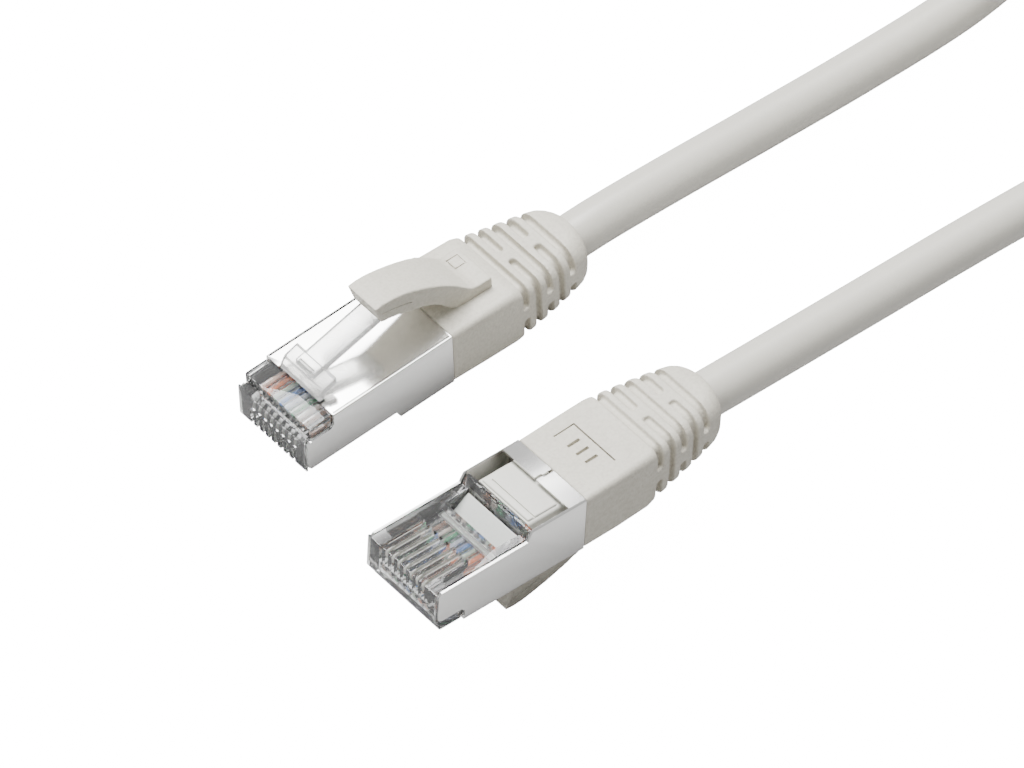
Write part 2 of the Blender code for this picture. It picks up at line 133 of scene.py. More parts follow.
CHANGES = {"inward": (0.5, 1.0), "outward": (0.1, 0.6), "up": (0.3, 0.8), "down": (0.0, 0.4)}


def ease(t):
    t = min(max(t, 0.0), 1.0)
    return t * t * (3.0 - 2.0 * t)


def change_kind(now, after):
    if now[0] != after[0]:
        return "inward" if after[0] < now[0] else "outward"
    return "up" if after[1] > now[1] else "down"


def layer_z(layer):
    return FIRST_LAYER + (layer - 1) * CORD_D


def fold(x, now, after, near):
    """Points of one half turn, clockwise from above: the far fold, or the near one with its change."""
    start, stop = CHANGES[change_kind(now, after)] if near and after != now else (0.0, 1.0)
    points = []
    for k in range(1, FOLD_STEPS):
        t = k / FOLD_STEPS
        share = ease((t - start) / (stop - start)) if near else 0.0
        radius = now[0] + (after[0] - now[0]) * share
        z = layer_z(now[1]) + (layer_z(after[1]) - layer_z(now[1])) * share
        turn = math.pi / 2 - math.pi * t + (math.pi if near else 0.0)
        points.append((x + radius * math.cos(turn), HANK_CENTRE_Y + radius * math.sin(turn), z))
    return points


def straight(side, cell, ahead):
    """A straight run on the +y (side 1) or -y (side -1) half of the hank."""
    ends = (NEAR_X, NEAR_X + HANK_STRAIGHT) if ahead else (NEAR_X + HANK_STRAIGHT, NEAR_X)
    return [(ends[0] + (ends[1] - ends[0]) * k / 3, HANK_CENTRE_Y + side * cell[0], layer_z(cell[1]))
            for k in range(4)]


def hank_route():
    points = []
    for now, after in zip(WINDING, WINDING[1:] + WINDING[-1:]):
        points += straight(1, now, True) + fold(NEAR_X + HANK_STRAIGHT, now, now, False)
        points += straight(-1, now, False)
        if after != now:
            points += fold(NEAR_X, now, after, True)
    return points


def smooth(route, step):
    """Evenly spaced points on the smooth curve through a route's points."""
    knots = [Vector(p) for p in route]
    slopes = [(b - a) / 2 for a, b in zip([knots[0]] + knots[:-1], knots[1:] + [knots[-1]])]
    fine = []
    for p, q, m, n in zip(knots, knots[1:], slopes, slopes[1:]):
        m, n = m.normalized() * (q - p).length, n.normalized() * (q - p).length
        for k in range(12):
            t = k / 12
            fine.append(p * (2 * t**3 - 3 * t**2 + 1) + m * (t**3 - 2 * t**2 + t)
                        + q * (3 * t**2 - 2 * t**3) + n * (t**3 - t**2))
    fine.append(knots[-1])
    kept = [fine[0]]
    for p in fine:
        if (p - kept[-1]).length >= step:
            kept.append(p)
    return kept + [knots[-1]]


JACKET_END = BOOT_REAR - 0.3
JACKET_Z_END = 1.3                  # the cord's middle where it leaves the boot
ROUTE_STEP = 1.6
CORD_START = plug_point("a", JACKET_END, 0, JACKET_Z_END) / MM
CORD_STOP = plug_point("b", JACKET_END, 0, JACKET_Z_END) / MM
ROUTE = smooth([CORD_START, *LEAD_A, *hank_route(), *reversed(LEAD_B), CORD_STOP], ROUTE_STEP)
CORD_LENGTH = sum((b - a).length for a, b in zip(ROUTE, ROUTE[1:]))
print(f"cord: {CORD_LENGTH:.0f} mm between the boots, {len(ROUTE)} points")

# %% [markdown]
# A cord of one thickness is a curve with a round bevel. Blender sweeps the circle along the route,
# so the cord stays one clean tube, and its length can be read from the route.

# %% The cord


def deselect():
    if bpy.context.object and bpy.context.object.mode != "OBJECT":
        bpy.ops.object.mode_set(mode="OBJECT")
    bpy.ops.object.select_all(action="DESELECT")


def add_cord(name, route):
    curve = bpy.data.curves.new(name, "CURVE")
    curve.dimensions = "3D"
    curve.bevel_depth = CORD_D / 2 * MM
    curve.bevel_resolution = 9
    curve.use_fill_caps = True
    spline = curve.splines.new("POLY")
    spline.points.add(len(route) - 1)
    for point, place in zip(spline.points, route):
        point.co = (*(place * MM), 1.0)
    spline.use_smooth = True
    made = bpy.data.objects.new(name, curve)
    bpy.context.scene.collection.objects.link(made)
    return made


cord = add_cord("patch_cord", ROUTE)

# %% [markdown]
# The modelling helpers. Each adds a primitive or works on the selected piece in edit mode, the way
# it would be done by hand. Faces and edges are picked by where they lie.

# %% Modelling helpers


def active(piece):
    deselect()
    piece.select_set(True)
    bpy.context.view_layer.objects.active = piece
    return piece


def name_piece(name):
    made = bpy.context.object
    made.name = name
    made.data.name = name
    return made


def block(name, x, y, z):
    """A box between two values on each axis."""
    deselect()
    bpy.ops.mesh.primitive_cube_add(size=1, location=((x[0] + x[1]) / 2, (y[0] + y[1]) / 2, (z[0] + z[1]) / 2))
    made = name_piece(name)
    made.scale = (x[1] - x[0], y[1] - y[0], z[1] - z[0])
    bpy.ops.object.transform_apply(location=True, rotation=True, scale=True)
    return made


def rod(name, x, y, z, radius, sides=24):
    """A round bar along x."""
    deselect()
    bpy.ops.mesh.primitive_cylinder_add(vertices=sides, radius=radius, depth=x[1] - x[0],
                                        location=((x[0] + x[1]) / 2, y, z), rotation=(0, math.pi / 2, 0))
    made = name_piece(name)
    bpy.ops.object.transform_apply(location=True, rotation=True, scale=True)
    return made


def profile(name, outline, y):
    """A side outline in x and z, drawn as a filled ring and extruded across the plug."""
    deselect()
    bpy.ops.mesh.primitive_circle_add(vertices=len(outline), fill_type="NGON")
    made = name_piece(name)
    for vertex, (x, z) in zip(made.data.vertices, outline):
        vertex.co = (x, y[0], z)
    bpy.ops.object.mode_set(mode="EDIT")
    bpy.ops.mesh.select_all(action="SELECT")
    bpy.ops.mesh.extrude_region_move(TRANSFORM_OT_translate={"value": (0, y[1] - y[0], 0)})
    bpy.ops.mesh.select_all(action="SELECT")
    bpy.ops.mesh.normals_make_consistent(inside=False)
    bpy.ops.object.mode_set(mode="OBJECT")
    return made


def bevel_edges(piece, wanted, width, segments=3):
    """Bevels the edges whose two ends pass the test."""
    active(piece)
    bpy.ops.object.mode_set(mode="EDIT")
    bpy.ops.mesh.select_mode(type="EDGE")
    bpy.ops.mesh.select_all(action="DESELECT")
    bpy.ops.object.mode_set(mode="OBJECT")
    points = piece.data.vertices
    for edge in piece.data.edges:
        edge.select = wanted(points[edge.vertices[0]].co, points[edge.vertices[1]].co)
    bpy.ops.object.mode_set(mode="EDIT")
    bpy.ops.mesh.bevel(offset=width, segments=segments, affect="EDGES", clamp_overlap=True)
    bpy.ops.object.mode_set(mode="OBJECT")
    return piece


def apply_modifier(piece, kind, **values):
    active(piece)
    bpy.ops.object.modifier_add(type=kind)
    step = piece.modifiers[-1]
    for key, value in values.items():
        setattr(step, key, value)
    bpy.ops.object.modifier_apply(modifier=step.name)
    return piece


def combine(piece, other, operation):
    """Joins or cuts with another piece, which is used up."""
    apply_modifier(piece, "BOOLEAN", object=other, operation=operation, solver="EXACT")
    bpy.data.objects.remove(other, do_unlink=True)
    return piece


def cut(piece, *others):
    for other in others:
        combine(piece, other, "DIFFERENCE")
    return piece


def join(*others):
    for other in others[1:]:
        combine(others[0], other, "UNION")
    return others[0]


def loft(name, sections, segments=7):
    """Rounded rectangles across x, as (x, half width, bottom, top, corner radius), bridged into a skin."""
    deselect()
    bpy.ops.object.select_all(action="DESELECT")
    rings = []
    for x, half, bottom, top, radius in sections:
        deselect()
        bpy.ops.mesh.primitive_plane_add(size=1, location=(x, 0, (top + bottom) / 2),
                                         rotation=(0, math.pi / 2, 0))
        made = bpy.context.object
        made.scale = (top - bottom, 2 * half, 1)
        bpy.ops.object.transform_apply(location=True, rotation=True, scale=True)
        bpy.ops.object.mode_set(mode="EDIT")
        bpy.ops.mesh.select_all(action="SELECT")
        bpy.ops.mesh.bevel(offset=min(radius, half - 0.02, (top - bottom) / 2 - 0.02), segments=segments,
                           affect="VERTICES", clamp_overlap=False)
        bpy.ops.mesh.select_all(action="SELECT")
        bpy.ops.mesh.delete(type="ONLY_FACE")
        bpy.ops.object.mode_set(mode="OBJECT")
        rings.append(made)
    deselect()
    for made in rings:
        made.select_set(True)
    bpy.context.view_layer.objects.active = rings[0]
    bpy.ops.object.join()
    made = name_piece(name)
    bpy.ops.object.mode_set(mode="EDIT")
    bpy.ops.mesh.select_mode(type="EDGE")
    bpy.ops.mesh.select_all(action="SELECT")
    bpy.ops.mesh.bridge_edge_loops()
    bpy.ops.mesh.select_all(action="DESELECT")
    bpy.ops.mesh.select_non_manifold()
    bpy.ops.mesh.edge_face_add()
    bpy.ops.mesh.select_all(action="SELECT")
    bpy.ops.mesh.fill_holes(sides=0)
    bpy.ops.mesh.normals_make_consistent(inside=False)
    bpy.ops.object.mode_set(mode="OBJECT")
    return made


def soften(piece, voxel, rounds=3):
    """Melts a sharp block model into one skin with small rounded edges, as a mould gives."""
    apply_modifier(piece, "REMESH", mode="VOXEL", voxel_size=voxel, adaptivity=0.0)
    apply_modifier(piece, "SMOOTH", factor=0.5, iterations=rounds)
    return piece


def shade(piece, degrees=35):
    active(piece)
    bpy.ops.object.shade_smooth_by_angle(angle=math.radians(degrees))
    return piece


# %% [markdown]
# A finished master is copied into each plug's frame. Every copy has its own mesh, sits with its
# object at the origin, and rides on the body that carries it, unless it is given no body.

# %% Placing a master on both plugs
MADE = {}


def place(master, name, material, slot, nodes, bodies=None):
    """Copies a master into both plugs. nodes are the CAD nodes that it stands for, without the tag."""
    for tag in "ab":
        active(master)
        bpy.ops.object.duplicate()
        made = name_piece(f"{name}_{tag}")
        made.matrix_world = PLUG_FRAMES[tag]
        bpy.ops.object.transform_apply(location=True, rotation=True, scale=True)
        made.data.materials.clear()
        made.data.materials.append(material)
        if made.name != f"{name}_{tag}":
            raise ValueError(f"the name {name}_{tag} is taken")
        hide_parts(*[f"{node}_{tag}" for node in nodes])
        if bodies is None:
            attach(made, ROOT)
        elif isinstance(bodies, str):
            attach(made, f"{bodies}_{tag}")
        MADE[made.name] = made
    print(f"{name}: {len(master.data.polygons)} faces")
    bpy.data.objects.remove(master, do_unlink=True)


# %% [markdown]
# Moulded vinyl, polished plastic and plated sheet share two effects: a fine moulded grain in the
# surface, whose hollows get painted shade, and a slow drift of tone. Each is a node group, built once
# and placed in each material with its own values.

# %% Shared shader groups


def new_group(name, inputs, outputs):
    group = bpy.data.node_groups.new(name, "ShaderNodeTree")
    for label, kind, default in inputs:
        made = group.interface.new_socket(label, in_out="INPUT", socket_type=kind)
        made.default_value = default
    for label, kind in outputs:
        group.interface.new_socket(label, in_out="OUTPUT", socket_type=kind)
    return group, group.nodes.new("NodeGroupInput"), group.nodes.new("NodeGroupOutput")


def math_node(tree, operation, first, second):
    made = tree.nodes.new("ShaderNodeMath")
    made.operation = operation
    for socket, value in zip(made.inputs, (first, second)):
        if isinstance(value, (int, float)):
            socket.default_value = value
        else:
            tree.links.new(value, socket)
    return made.outputs[0]


def noise_node(tree, scale, detail, vector=None, roughness=0.5):
    made = tree.nodes.new("ShaderNodeTexNoise")
    made.inputs["Detail"].default_value = detail
    made.inputs["Roughness"].default_value = roughness
    if isinstance(scale, (int, float)):
        made.inputs["Scale"].default_value = scale
    else:
        tree.links.new(scale, made.inputs["Scale"])
    if vector is not None:
        tree.links.new(vector, made.inputs["Vector"])
    return made.outputs["Fac"]


def make_grain_group():
    """Fine moulded grain: a height for a bump, and a mask of painted shade that darkens the grain's low hollows.
    """
    group, taken, given = new_group("moulded grain and painted pit shade", [("Grains per Metre", "NodeSocketFloat", 3000.0)],
                                    [("Height", "NodeSocketFloat"), ("Painted Pit Shade", "NodeSocketFloat")])
    places = group.nodes.new("ShaderNodeTexCoord").outputs["Object"]
    coarse = noise_node(group, taken.outputs[0], 2.0, places)
    fine = noise_node(group, math_node(group, "MULTIPLY", taken.outputs[0], 2.7), 1.0, places)
    height = math_node(group, "ADD", coarse, math_node(group, "MULTIPLY", fine, 0.6))
    group.links.new(height, given.inputs["Height"])
    # Painted shade: the low parts of the grain get a mask that darkens their colour, as shade in hollows would.
    painted_pit_shade = math_node(group, "MULTIPLY", math_node(group, "SUBTRACT", 0.62, coarse), 2.5)
    group.links.new(painted_pit_shade, given.inputs["Painted Pit Shade"])
    return group


def make_tone_group():
    """Two close colours mixed by a slow noise, with painted shade, a darker third, multiplied in where a mask
    says so.
    """
    group, taken, given = new_group(
        "drifting tone and painted pit shade",
        [("Light", "NodeSocketColor", (0.8, 0.8, 0.8, 1)), ("Dark", "NodeSocketColor", (0.7, 0.7, 0.7, 1)),
         ("Patches per Metre", "NodeSocketFloat", 120.0), ("Mask", "NodeSocketFloat", 0.0),
         ("Mask Strength", "NodeSocketFloat", 0.1)],
        [("Color", "NodeSocketColor"), ("Drift", "NodeSocketFloat")])
    places = group.nodes.new("ShaderNodeTexCoord").outputs["Object"]
    drift = noise_node(group, taken.outputs["Patches per Metre"], 3.0, places)
    mix = group.nodes.new("ShaderNodeMix")
    mix.data_type = "RGBA"
    group.links.new(drift, mix.inputs["Factor"])
    group.links.new(taken.outputs["Light"], mix.inputs["A"])
    group.links.new(taken.outputs["Dark"], mix.inputs["B"])
    # Painted shade: a dark brown-grey is multiplied into the colour by the mask times its strength.
    shadow = group.nodes.new("ShaderNodeMix")
    shadow.data_type = "RGBA"
    shadow.blend_type = "MULTIPLY"
    group.links.new(mix.outputs["Result"], shadow.inputs["A"])
    shadow.inputs["B"].default_value = (0.45, 0.43, 0.38, 1)
    group.links.new(math_node(group, "MULTIPLY", taken.outputs["Mask"], taken.outputs["Mask Strength"]),
                    shadow.inputs["Factor"])
    group.links.new(shadow.outputs["Result"], given.inputs["Color"])
    group.links.new(drift, given.inputs["Drift"])
    return group


GRAIN = make_grain_group()
TONE = make_tone_group()
print("shader groups:", GRAIN.name, "and", TONE.name)

# %% [markdown]
# A finish is a Principled shader with its constants set on its own sockets, and the two groups
# feeding its colour, roughness and bump. Its colour carries painted shade in the grain's hollows.

# %% The finishes


def srgb(red, green, blue):
    """A colour as it is named on a screen, 0 to 255, in the shader's linear values."""
    linear = [((c / 255 + 0.055) / 1.055) ** 2.4 if c > 10 else c / 255 / 12.92 for c in (red, green, blue)]
    return (*linear, 1)


def finish(name, light, dark, roughness=(0.4, 0.5), grains=3000.0, bump=0.1, bump_depth=0.00005, painted_pit_shade=0.1,
           patches=120.0, **sockets):
    material = bpy.data.materials.new(name)
    material.use_nodes = True
    tree = material.node_tree
    shader = tree.nodes["Principled BSDF"]
    grain = tree.nodes.new("ShaderNodeGroup")
    grain.node_tree = GRAIN
    grain.inputs["Grains per Metre"].default_value = grains
    tone = tree.nodes.new("ShaderNodeGroup")
    tone.node_tree = TONE
    tone.inputs["Light"].default_value = light
    tone.inputs["Dark"].default_value = dark
    tone.inputs["Patches per Metre"].default_value = patches
    # Painted shade: this strength sets how much the grain's hollows are darkened.
    tone.inputs["Mask Strength"].default_value = painted_pit_shade
    tree.links.new(grain.outputs["Painted Pit Shade"], tone.inputs["Mask"])
    tree.links.new(tone.outputs["Color"], shader.inputs["Base Color"])
    spread = tree.nodes.new("ShaderNodeMapRange")
    spread.inputs["From Min"].default_value = 0.3
    spread.inputs["From Max"].default_value = 0.7
    spread.inputs["To Min"].default_value = roughness[0]
    spread.inputs["To Max"].default_value = roughness[1]
    tree.links.new(tone.outputs["Drift"], spread.inputs["Value"])
    tree.links.new(spread.outputs["Result"], shader.inputs["Roughness"])
    if bump:
        made = tree.nodes.new("ShaderNodeBump")
        made.inputs["Strength"].default_value = bump
        made.inputs["Distance"].default_value = bump_depth
        tree.links.new(grain.outputs["Height"], made.inputs["Height"])
        tree.links.new(made.outputs["Normal"], shader.inputs["Normal"])
    for key, value in sockets.items():
        shader.inputs[key.replace("_", " ")].default_value = value
    return material


# Each finish below also gives the strength of the painted shade that darkens its grain's hollows.
BOOT_VINYL = finish("boot vinyl", srgb(208, 204, 191), srgb(198, 194, 181), (0.48, 0.6), grains=2600, bump=0.5,
                    bump_depth=0.00007, painted_pit_shade=0.26)
CORD_VINYL = finish("cord vinyl", srgb(206, 203, 193), srgb(199, 196, 186), (0.26, 0.34), grains=900, bump=0.06,
                    bump_depth=0.00005, painted_pit_shade=0.05)
NICKEL = finish("nickel plate", (0.78, 0.775, 0.76, 1), (0.73, 0.725, 0.71, 1), (0.12, 0.18),
                grains=1400, bump=0.03, bump_depth=0.00002, painted_pit_shade=0.04, Metallic=1.0)
CONTACT_METAL = finish("contact plate", (0.92, 0.91, 0.87, 1), (0.86, 0.84, 0.78, 1), (0.28, 0.4), grains=4000,
                       bump=0.05, bump_depth=0.00001, Metallic=0.3)
CLEAR = finish("clear polycarbonate", (0.97, 0.975, 0.97, 1), (0.94, 0.95, 0.945, 1), (0.02, 0.06), grains=700,
               bump=0.03, bump_depth=0.00002, painted_pit_shade=0.02, IOR=1.4, Transmission_Weight=0.97)
FROSTED = finish("frosted polycarbonate", (0.95, 0.95, 0.94, 1), (0.90, 0.90, 0.89, 1), (0.2, 0.32), grains=3500,
                 bump=0.15, bump_depth=0.00002, painted_pit_shade=0.05, IOR=1.45, Transmission_Weight=0.75)
MILKY = finish("milky polymer", srgb(214, 216, 212), srgb(200, 203, 198), (0.3, 0.4), grains=2500, bump=0.1,
               bump_depth=0.00002)
CREAM = finish("cream overmould", srgb(220, 219, 211), srgb(211, 210, 201), (0.4, 0.5), grains=3000, bump=0.2,
               bump_depth=0.00003)
FOIL = finish("shield foil", (0.80, 0.81, 0.82, 1), (0.62, 0.63, 0.64, 1), (0.2, 0.4), grains=1800, bump=0.6,
              bump_depth=0.0001, Metallic=1.0)
INSULATION = {
    "orange": srgb(214, 116, 70), "green": srgb(62, 138, 96),
    "blue": srgb(62, 108, 174), "brown": srgb(132, 98, 80),
}
print("finishes:", len(bpy.data.materials))

# %% [markdown]
# In each pair one wire is a paler mix of its partner's colour, which stands for its stripe.

# %% Wire finishes


def wire_finish(name, colour, striped):
    white = srgb(232, 228, 220)
    light = tuple(0.55 * w + 0.45 * c for w, c in zip(white, colour)) if striped else colour
    dark = tuple(0.8 * v for v in light[:3]) + (1,)
    return finish(name, light, dark, (0.3, 0.4), grains=3000, bump=0.05, bump_depth=0.00001, patches=900)


WIRE_ORDER = ("orange", "orange", "green", "blue", "blue", "green", "brown", "brown")
WIRE_FINISHES = []
for k, colour_name in enumerate(WIRE_ORDER):
    striped = k % 2 == 0
    label = f"wire {'white ' if striped else ''}{colour_name}"
    WIRE_FINISHES.append(wire_finish(label, INSULATION[colour_name], striped))


def coat(node, material):
    """Gives a carried-over CAD node a finish."""
    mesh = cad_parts[node].data
    mesh.materials.clear()
    mesh.materials.append(material)


for tag in "ab":
    for k in range(CONTACTS):
        coat(f"contact_{k + 1}_{tag}", CONTACT_METAL)
        coat(f"wire_{k + 1}_{tag}", WIRE_FINISHES[k])
    coat(f"wire_guide_{tag}", MILKY)
    coat(f"foil_wrap_{tag}", FOIL)
    coat(f"jacket_end_{tag}", CORD_VINYL)
print("wires, contacts and inner pieces have their finishes")

# %% [markdown]
# The boot is one vinyl moulding: a square body flush with the shield, five flex grooves, and a
# domed end round the cord. The body is lofted from rounded sections. Each groove is a block with the
# boot's own core taken out of it, so that it keeps one depth all round, less the two webs that
# join neighbouring ribs. A voxel remesh then melts all edges together, as a mould does.

# %% The boot
BOOT_SECTIONS = (
    (BOOT_FRONT, 5.85, -1.3, 6.5, 0.6),
    (26.0, 5.9, -1.6, 6.42, 0.7),
    (30.4, 5.92, -1.95, 6.2, 0.95),
    (31.6, 5.85, -2.03, 5.85, 1.2),
    (35.8, 5.5, -2.2, 5.3, 1.8),
    (39.5, 4.95, -2.35, 5.12, 2.3),
    (41.2, 4.6, -2.4, 4.95, 2.6),
    (42.0, 4.2, -2.3, 4.75, 2.8),
    (42.5, 3.7, -2.1, 4.58, 2.9),
    (BOOT_REAR, 3.2, -1.88, 4.42, 3.0),
)
GROOVE_X = [31.5 + 1.85 * k for k in range(5)]
GROOVE_WIDTH = 0.95
GROOVE_DEPTH = 0.95
WEB = 0.85                # half width of the web between two ribs
BORE_R = 2.85
THIN_WALL = 0.25          # what a groove leaves over the cord
JACKET_Z_IN = 2.7
JACKET_BEND = (24.0, 38.0)
BOOT_VOXEL = 0.15


def section_at(x):
    for first, second in zip(BOOT_SECTIONS, BOOT_SECTIONS[1:]):
        if x <= second[0]:
            break
    t = (x - first[0]) / (second[0] - first[0])
    return [a + (b - a) * t for a, b in zip(first[1:], second[1:])]


def groove(x, across_top):
    """The ring of material that one groove takes away."""
    half, bottom, top, radius = section_at(x + GROOVE_WIDTH / 2)
    ring = block("groove", (x, x + GROOVE_WIDTH), (-8, 8), (-6, 10))
    over_cord = jacket_z(x) + BORE_R + THIN_WALL
    core = (half - GROOVE_DEPTH, bottom + 0.45, max(top - GROOVE_DEPTH, over_cord), max(radius - 0.4, 0.3))
    cut(ring, loft("core", [(x - 0.5, *core), (x + GROOVE_WIDTH + 0.5, *core)]))
    middle = (top + bottom) / 2
    if across_top:
        web = block("web", (x - 1, x + 2), (-9, 9), (middle - WEB, middle + WEB))
    else:
        web = block("web", (x - 1, x + 2), (-WEB, WEB), (-7, 11))
    return cut(ring, web)


def jacket_z(x):
    """The cord's middle, which sinks towards the boot's end."""
    start, stop = JACKET_BEND
    return JACKET_Z_IN - (JACKET_Z_IN - JACKET_Z_END) * ease((x - start) / (stop - start))


def make_boot():
    boot = loft("boot", BOOT_SECTIONS)
    for k, x in enumerate(GROOVE_X):
        cut(boot, groove(x, k % 2 == 0))
    stations = (BOOT_FRONT - 1, 24.0, 27.5, 31.0, 34.5, 38.0, BOOT_REAR + 1)
    bore = loft("bore", [(x, BORE_R, jacket_z(x) - BORE_R, jacket_z(x) + BORE_R, BORE_R - 0.05)
                         for x in stations])
    cut(boot, bore)
    soften(boot, BOOT_VOXEL)
    return boot


# The moulded length mark on the contact side, kept generic: a frame on two sides and three plain bars
MARK_DEPTH = 0.16
LINE = 0.2


def make_mark():
    low, high = SHIELD_BOTTOM - 1.0, SHIELD_BOTTOM + MARK_DEPTH
    mark = block("mark", (24.4, 27.35), (-3.6, -3.6 + LINE), (low, high))
    join(mark, block("bar", (27.35 - LINE, 27.35), (-3.6, 3.5), (low, high)))
    for k in range(3):
        join(mark, block("bar", (24.6, 26.3), (-1.6 + 1.5 * k, -1.2 + 1.5 * k), (low, high)))
    return mark


boot = make_boot()
cut(boot, make_mark())
shade(boot, 50)
place(boot, "ribbed_boot", BOOT_VINYL, "boot_rubber", ["boot"])

# %% [markdown]
# The hood that keeps the latch from snagging grows out of a block on the boot. It is an arched
# finger, thicker at its tip, and wider where it leaves the block. Its side outline is extruded, the
# root is flared, and the edges are melted. It bends at its root; its copies are placed in the world
# and not tied to the boot's body or the hood's.

# %% The release hood
HOOD_HALF = 2.45
HOOD_OUTLINE = ((13.4, 14.0), (14.5, 14.15), (16.0, 14.0), (17.5, 13.65), (18.9, 13.2), (20.3, 12.6),
                (21.6, 11.95), (23.1, 11.05), (24.5, 9.95), (25.6, 8.9), (26.5, 8.05), (27.3, 7.8),
                (29.4, 7.75), (29.4, 5.9), (26.1, 5.9), (24.6, 6.25), (23.7, 6.75), (23.2, 7.25), (22.3, 8.25),
                (21.3, 8.95), (20.2, 9.5), (19.0, 10.0), (17.9, 10.4), (16.6, 10.8), (15.4, 11.15), (14.15, 11.4))
HOOD_PARTING = ((14.3, 12.75), (16.2, 12.35), (18.2, 11.75), (20.2, 10.9))


def parting_line(first, second):
    """A hair-wide groove between two points, where the mould's halves met."""
    run = second - first
    bar = block("line", (-run.length / 2, run.length / 2), (-0.07, 0.07), (-0.05, 0.05))
    bar.rotation_mode = "QUATERNION"
    bar.rotation_quaternion = run.to_track_quat("X", "Z")
    bar.location = (first + second) / 2
    deselect()
    active(bar)
    bpy.ops.object.transform_apply(location=True, rotation=True, scale=True)
    return bar


def make_hood():
    hood = profile("hood", HOOD_OUTLINE, (-HOOD_HALF, HOOD_HALF))
    for vertex in hood.data.vertices:
        vertex.co.y *= 1.0 + 0.22 * ease((vertex.co.x - 19.0) / 6.5)
    soften(hood, 0.14, 5)
    square = block("square", (27.0, 28.7), (0.5, 2.2), (7.65, 8.5))
    cut(square, block("inside", (27.0 + LINE, 28.7 - LINE), (0.5 + LINE, 2.2 - LINE), (7.0, 9.0)))
    cut(hood, square)
    for side in (-1, 1):
        line = [Vector((x, side * (HOOD_HALF + 0.01), z)) for x, z in HOOD_PARTING]
        for first, second in zip(line, line[1:]):
            cut(hood, parting_line(first, second))
    return shade(hood, 50)


place(make_hood(), "arched_hood", BOOT_VINYL, "boot_rubber", ["hood"], bodies=())
for tag in "ab":
    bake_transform(MADE[f"arched_hood_{tag}"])

# %% [markdown]
# The shield is bright plated sheet, folded round the plug: its sides reach forward past the top, its
# contact side is open up to two flaps, and a lapped seam runs along each top edge. It starts as a
# side outline, gets its long folds rounded, and is then hollowed.

# %% The shield
SHIELD_OUTLINE = ((0.35, 0.5), (0.75, 0.05), (STEP_X - 0.7, 0.0), (STEP_X, SHIELD_BOTTOM),
                  (SHIELD_REAR, SHIELD_BOTTOM), (SHIELD_REAR, SHIELD_TOP), (SHIELD_FRONT, SHIELD_TOP),
                  (SHIELD_FRONT, 4.95), (3.75, 4.5), (1.0, 4.5), (0.55, 4.3), (0.35, 3.9))
FOLD_R = 0.18
SEAM_IN, SEAM_WIDE = 0.2, 0.22      # the lapped seam, in from the fold
SEAM_END = 0.15                     # the sheet stays whole at the seam's ends


def hollowed(outline, wall, low, high):
    shell = profile("shell", outline, (-HALF_WIDTH, HALF_WIDTH))
    bevel_edges(shell, lambda a, b: abs(abs(a.y) - HALF_WIDTH) < 0.01 and abs(a.y - b.y) < 0.01
                and abs(a.x - b.x) > 3 and max(a.z, b.z) > 6, FOLD_R, 5)
    bevel_edges(shell, lambda a, b: abs(abs(a.y) - HALF_WIDTH) < 0.01 and abs(a.y - b.y) < 0.01
                and abs(a.x - b.x) > 3 and max(a.z, b.z) < -1, 0.3, 4)
    inner = HALF_WIDTH - wall
    room = block("room", (-2, SHIELD_REAR + 2), (-inner, inner), (low, high))
    bevel_edges(room, lambda a, b: abs(a.x - b.x) > 3, 0.2, 3)
    return cut(shell, room)


def make_shield():
    inner = HALF_WIDTH - SHEET
    shell = hollowed(SHIELD_OUTLINE, SHEET, SHIELD_BOTTOM + SHEET, SHIELD_TOP - SHEET)
    cut(shell, block("open side", (-2, FLAP_X), (-inner, inner), (SHIELD_BOTTOM - 1, 0.5)),
        block("front slit", (FLAP_X - 0.5, 19.9), (-0.3, 0.1), (SHIELD_BOTTOM - 0.5, SHIELD_BOTTOM + 0.6)),
        block("rear slit", (19.8, SHIELD_REAR + 0.5), (-0.1, 0.3), (SHIELD_BOTTOM - 0.5, SHIELD_BOTTOM + 0.6)),
        block("latch window", (SHIELD_FRONT - 0.5, 4.95), (-3.7, 3.7), (SHIELD_TOP - 0.6, SHIELD_TOP + 0.3)))
    for side in (-1, 1):
        seam = sorted((side * (HALF_WIDTH - SEAM_IN), side * (HALF_WIDTH - SEAM_IN - SEAM_WIDE)))
        cut(shell, block("seam", (SHIELD_FRONT + SEAM_END, SHIELD_REAR - SEAM_END), seam,
                         (SHIELD_TOP - SHEET - 0.2, SHIELD_TOP + 0.3)))
    return shade(shell, 30)


place(make_shield(), "plated_shield", NICKEL, "nickel_shield", ["shield"])

# %% [markdown]
# The housing is the clear moulding. Light bends at every wall of it, so what makes it look real is
# its inside: eight contact slots that open at the nose, eight round channels for the wires, and
# the recess for the clamp bar. Small bevels catch the light as bright lines.

# %% The clear housing
INNER_HALF = HALF_WIDTH - SHEET - 0.15
SLOT_HALF = 0.24
CHANNEL_R = 0.5


